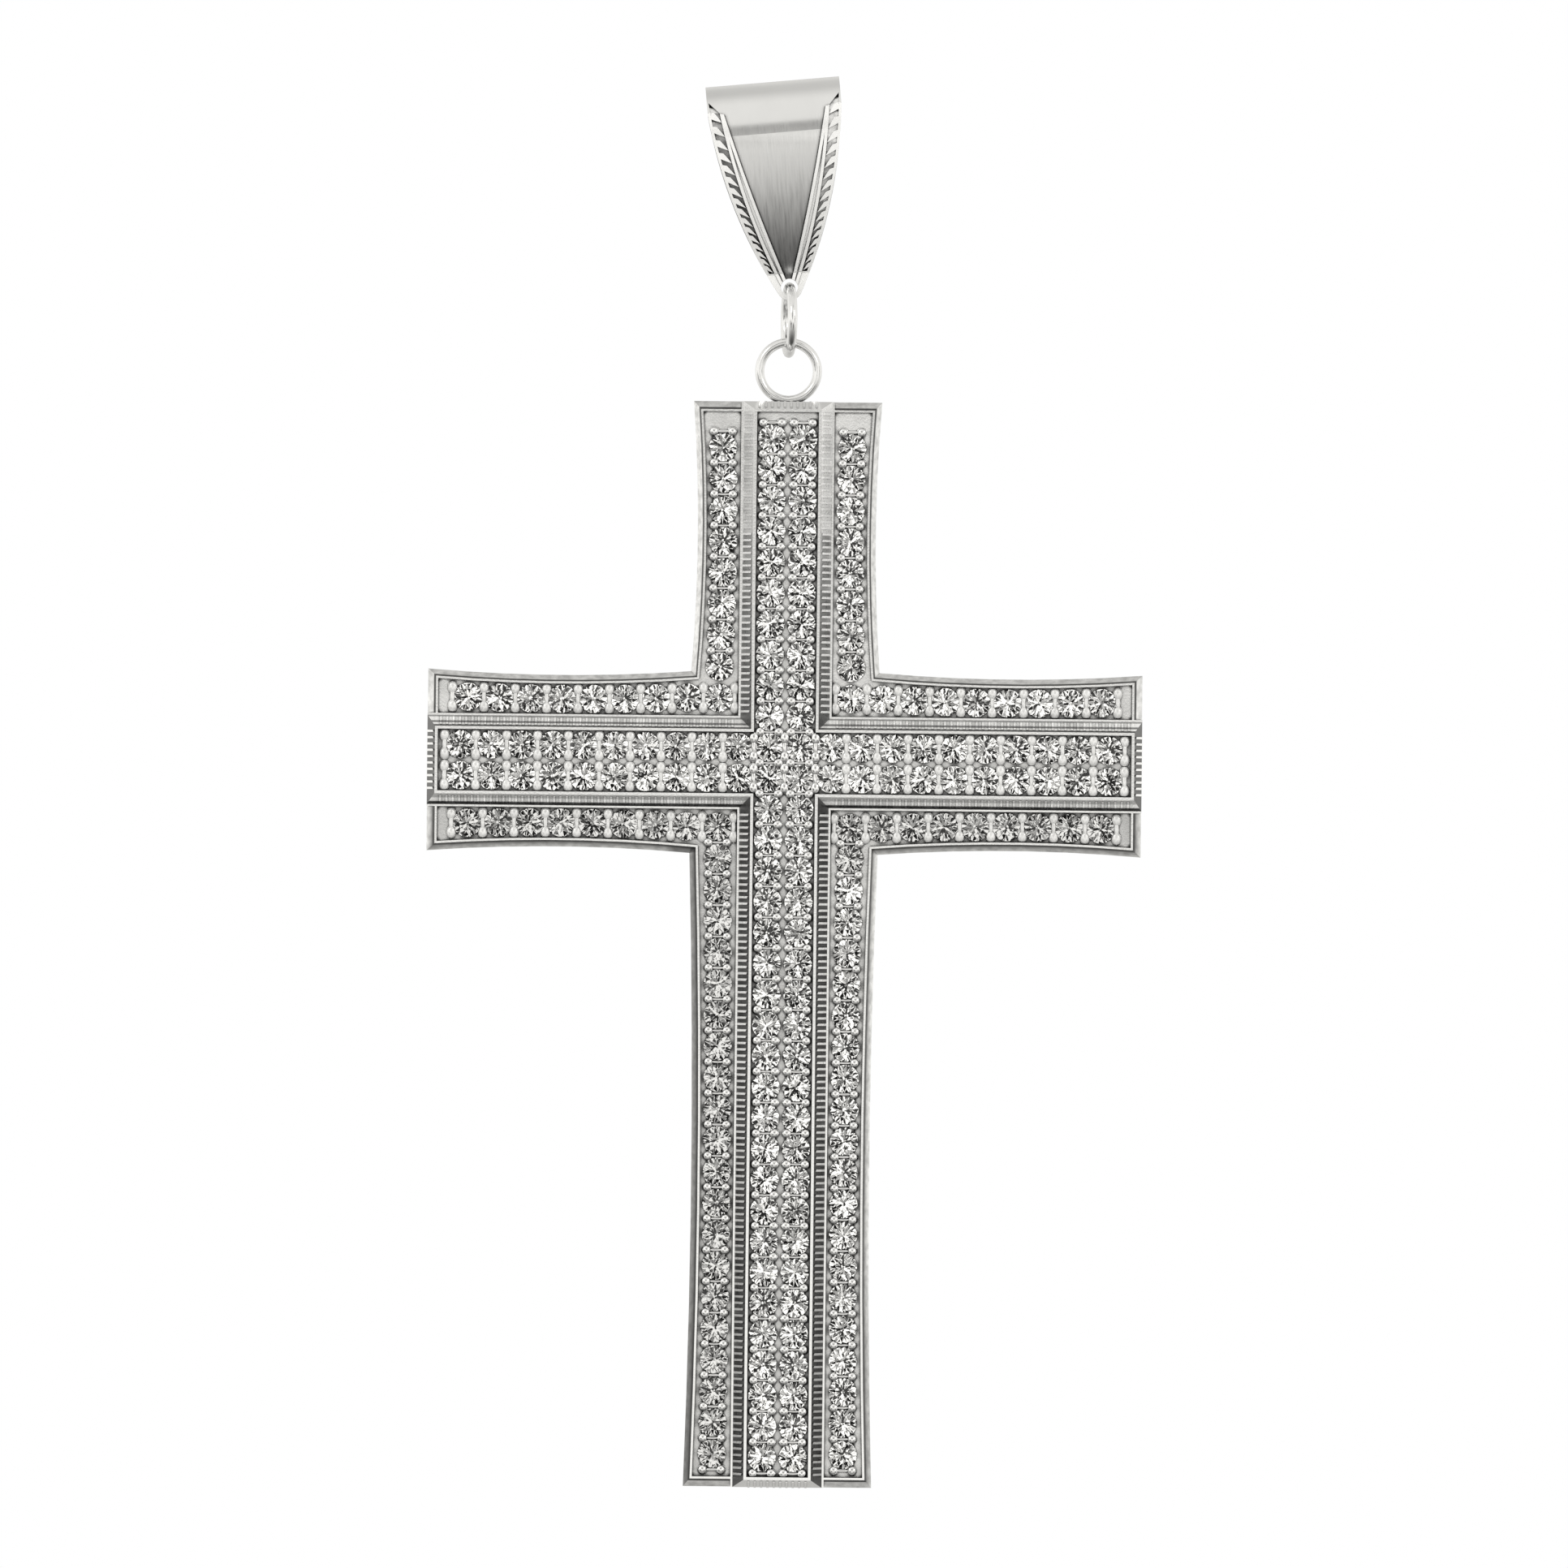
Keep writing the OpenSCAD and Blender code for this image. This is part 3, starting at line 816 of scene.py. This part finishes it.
FLOOR_Z = -0.35
FLOOR_R = 1.4
FLOOR_SIDES = 96
FLOOR_COLOUR = (0.9, 0.9, 0.9, 1)
FLOOR_ROUGH = 0.7
floor_mesh = bpy.data.meshes.new("floor")
floor_ring = ring_of(FLOOR_SIDES, 1.0, 0.0)
floor_points = [(p.x * FLOOR_R, p.y * FLOOR_R, FLOOR_Z) for p in floor_ring]
floor_mesh.from_pydata(floor_points, [], [list(range(FLOOR_SIDES))])
floor_material, _, floor_shader = new_material("pale_floor")
floor_shader.inputs["Base Color"].default_value = FLOOR_COLOUR
floor_shader.inputs["Roughness"].default_value = FLOOR_ROUGH
floor_mesh.materials.append(floor_material)
floor = bpy.data.objects.new("floor", floor_mesh)
floor.visible_glossy = False
floor.visible_transmission = False
bpy.context.scene.collection.objects.link(floor)


# Studio light

# Brightness of the studio by height in front, by height behind and by side behind
FRONT_BY_HEIGHT = [
    (0.0, 0.06),
    (0.05, 0.09),
    (0.105, 0.15),
    (0.235, 0.38),
    (0.38, 0.74),
    (0.45, 0.92),
    (0.5, 1.05),
    (0.6, 1.0),
    (0.72, 0.84),
    (1.0, 0.84),
]
BACK_BY_HEIGHT = [
    (0.0, 0.6),
    (0.1, 0.74),
    (0.3, 0.88),
    (0.5, 1.0),
    (0.75, 1.0),
    (0.9, 0.82),
    (1.0, 0.8),
]
BACK_BY_SIDE = [
    (0.0, 0.98),
    (0.1, 0.96),
    (0.3, 0.76),
    (0.5, 0.72),
    (0.75, 0.82),
    (0.9, 0.9),
    (1.0, 0.92),
]
# Soft boxes and flags in front: turn from the front, height and radius in degrees, brightness
PATCHES = [
    (0, 13, 15, 0.34),
    (-38, 28, 9, 4.0),
    (42, 20, 7, 4.0),
    (-25, -14, 12, 0.12),
    (28, -20, 11, 0.12),
    (-52, -8, 10, 0.2),
    (60, 2, 10, 0.2),
    (22, 42, 8, 0.15),
]
# Share of a patch's radius inside which it is even
PATCH_EDGE = 0.6
# Flat light on what isn't polished, and the warmth of all the light
SOFT_LIGHT = 1.15
WARMTH = {"Red": 1.0, "Green": 0.988, "Blue": 0.95}
# Soft boxes with dark gaps between them, seen through the stones: near the front, and round it
FLAG_SCALE = 14.0
FRONT_FLAGS = [(0.445, 0.0), (0.475, 0.3), (0.55, 0.56), (0.58, 1.3)]
OUTER_FLAGS = [(0.445, 0.01), (0.465, 0.3), (0.54, 0.56), (0.57, 1.25)]
# Directions between which one part of the studio gives way to the next
WHOLE_SPAN = (-1.0, 1.0)
FRONT_TO_BACK = (-0.2, 0.3)
FRONT_FLAGS_END = (-0.97, -0.9)

world = bpy.data.worlds.new("studio")
world.use_nodes = True
bpy.context.scene.world = world
sky = world.node_tree
sky.nodes.clear()
output = sky.nodes.new("ShaderNodeOutputWorld")
direction = add_node(sky, "ShaderNodeTexCoord").outputs["Generated"]
parts = add_node(sky, "ShaderNodeSeparateXYZ", links={"Vector": direction})


def by_axis(axis, span):
    """From 0 to 1 as a direction turns along one axis."""
    node = add_node(
        sky,
        "ShaderNodeMapRange",
        values={"From Min": span[0], "From Max": span[1]},
        links={"Value": parts.outputs[axis]},
    )
    return node.outputs["Result"]


def with_patch(glow, turn, height, radius, level):
    """The glow with a round soft box or flag in it."""
    turn, height = math.radians(turn), math.radians(height)
    flat = math.cos(height)
    middle = (math.sin(turn) * flat, -math.cos(turn) * flat, math.sin(height))
    near = add_node(
        sky,
        "ShaderNodeVectorMath",
        values={1: middle},
        links={0: direction},
        operation="DOT_PRODUCT",
    )
    inside = add_node(
        sky,
        "ShaderNodeMapRange",
        values={
            "From Min": math.cos(math.radians(radius)),
            "From Max": math.cos(math.radians(radius * PATCH_EDGE)),
        },
        links={"Value": near.outputs["Value"]},
        interpolation_type="SMOOTHSTEP",
    )
    return blend(sky, inside.outputs["Result"], glow, float(level))


up = by_axis("Z", WHOLE_SPAN)
side_light = ramp(sky, by_axis("X", WHOLE_SPAN), BACK_BY_SIDE)
behind = multiply(sky, ramp(sky, up, BACK_BY_HEIGHT), side_light)
glow = blend(sky, by_axis("Y", FRONT_TO_BACK), ramp(sky, up, FRONT_BY_HEIGHT), behind)
for patch in PATCHES:
    glow = with_patch(glow, *patch)
rays = add_node(sky, "ShaderNodeLightPath")
flags = noise(sky, direction, FLAG_SCALE, 0.0)
through_stones = blend(
    sky,
    by_axis("Y", FRONT_FLAGS_END),
    ramp(sky, flags, FRONT_FLAGS),
    ramp(sky, flags, OUTER_FLAGS),
)
glow = blend(sky, rays.outputs["Is Transmission Ray"], glow, through_stones)
glow = blend(sky, rays.outputs["Is Diffuse Ray"], glow, SOFT_LIGHT)
warm = add_node(sky, "ShaderNodeCombineColor", values=WARMTH)
glow = multiply(sky, glow, warm.outputs["Color"])
studio = add_node(sky, "ShaderNodeBackground", links={"Color": glow})
white = add_node(sky, "ShaderNodeBackground", values={"Color": (1, 1, 1, 1)})
both = add_node(sky, "ShaderNodeMixShader")
sky.links.new(rays.outputs["Is Camera Ray"], both.inputs[0])
sky.links.new(studio.outputs["Background"], both.inputs[1])
sky.links.new(white.outputs["Background"], both.inputs[2])
sky.links.new(both.outputs["Shader"], output.inputs["Surface"])
bpy.context.scene.view_settings.view_transform = "Standard"
